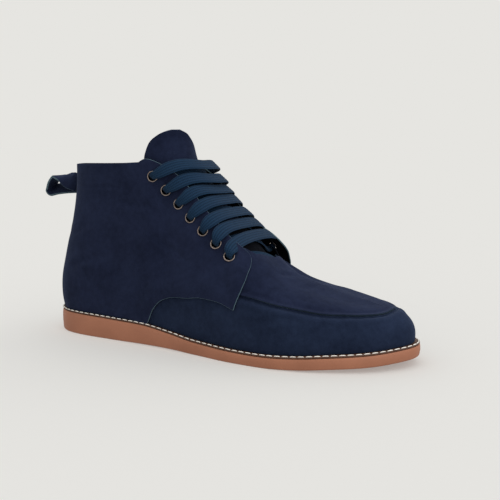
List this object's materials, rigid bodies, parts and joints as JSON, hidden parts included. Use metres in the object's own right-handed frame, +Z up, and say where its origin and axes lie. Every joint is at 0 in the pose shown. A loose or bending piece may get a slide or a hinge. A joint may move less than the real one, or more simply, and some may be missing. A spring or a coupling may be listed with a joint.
{
  "type": "moc toe boot",
  "caption": "Lace-up ankle boot with a raised moc toe seam, facings with metal eyelets, a tall tongue, a heel pull loop and a thin wedge sole on a stitched welt.",
  "frame": {"origin": "under the middle of the heel, on the floor plane the sole stands on", "axes": "+X from heel to toe, +Y to the medial (inner) side, +Z up"},
  "size_m": [0.3153, 0.1035, 0.159],
  "materials": {
    "suede": "navy suede with a short nap",
    "gum_rubber": "matt tan gum",
    "welt_leather": "brown edge-dyed strip",
    "footbed": "plain tan leather",
    "lace": "flat braided teal-navy cotton",
    "bronze": "antique bronze, satin"
  },
  "bodies": {
    "root": {"outsole": "gum_rubber", "welt": "welt_leather", "insole": "footbed", "upper": "suede", "tongue": "suede", "pull_loop": "suede", "lace": "lace", "eyelet_lateral_1": "bronze", "eyelet_lateral_2": "bronze", "eyelet_lateral_3": "bronze", "eyelet_lateral_4": "bronze", "eyelet_lateral_5": "bronze", "eyelet_lateral_6": "bronze", "eyelet_lateral_7": "bronze", "eyelet_medial_1": "bronze", "eyelet_medial_2": "bronze", "eyelet_medial_3": "bronze", "eyelet_medial_4": "bronze", "eyelet_medial_5": "bronze", "eyelet_medial_6": "bronze", "eyelet_medial_7": "bronze"}
  },
  "joints": []
}
